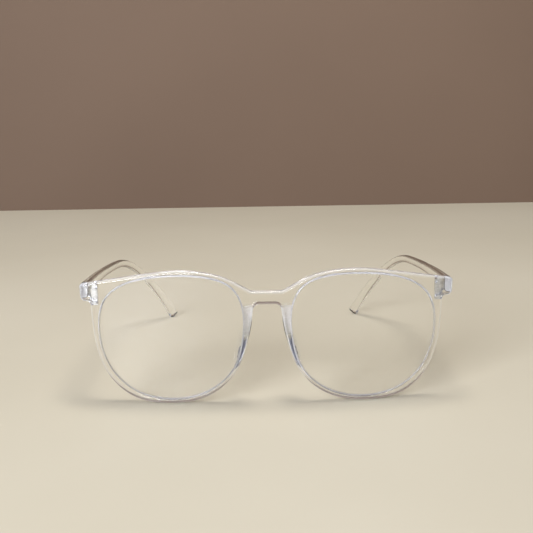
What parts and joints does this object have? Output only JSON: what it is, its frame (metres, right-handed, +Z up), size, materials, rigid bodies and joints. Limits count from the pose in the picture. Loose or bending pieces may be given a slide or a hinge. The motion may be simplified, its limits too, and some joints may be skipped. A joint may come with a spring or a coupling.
{
  "type": "eyeglasses",
  "caption": "Clear plastic eyeglasses with rounded square lenses, nose pads and temples that fold on small metal hinges behind the end pieces.",
  "frame": {"origin": "middle of the glasses' box, on the surface they stand on", "axes": "+Z up, the lenses face -Y, the open temples run back towards +Y, X = 0 is the middle of the bridge; left is -X as seen from the front"},
  "size_m": [0.138, 0.129, 0.0493],
  "materials": {
    "clear_frame": "polished water-clear plastic with a faint warm tint",
    "lens": "optically clear coated plastic lens",
    "nose_pad": "clear soft plastic, slightly satin",
    "hinge_metal": "bright tumbled nickel silver",
    "screw_metal": "bright stainless steel"
  },
  "bodies": {
    "front": {"front_frame": "clear_frame", "left_lens": "lens", "left_nose_pad": "nose_pad", "left_front_hinge_leaf": "hinge_metal", "left_hinge_screw": "screw_metal", "right_lens": "lens", "right_nose_pad": "nose_pad", "right_front_hinge_leaf": "hinge_metal", "right_hinge_screw": "screw_metal"},
    "left_arm": {"left_temple": "clear_frame", "left_temple_hinge_leaf": "hinge_metal"},
    "right_arm": {"right_temple": "clear_frame", "right_temple_hinge_leaf": "hinge_metal"}
  },
  "joints": [
    {"name": "left_temple_fold", "type": "hinge", "parent": "front", "child": "left_arm", "pos_m": [-0.0637, -0.05211, 0.04038], "axis": [0, -0.0436, -0.999], "range_deg": [0, 81]},
    {"name": "right_temple_fold", "type": "hinge", "parent": "front", "child": "right_arm", "pos_m": [0.0637, -0.05211, 0.04038], "axis": [0, 0.0436, 0.999], "range_deg": [0, 71]}
  ]
}
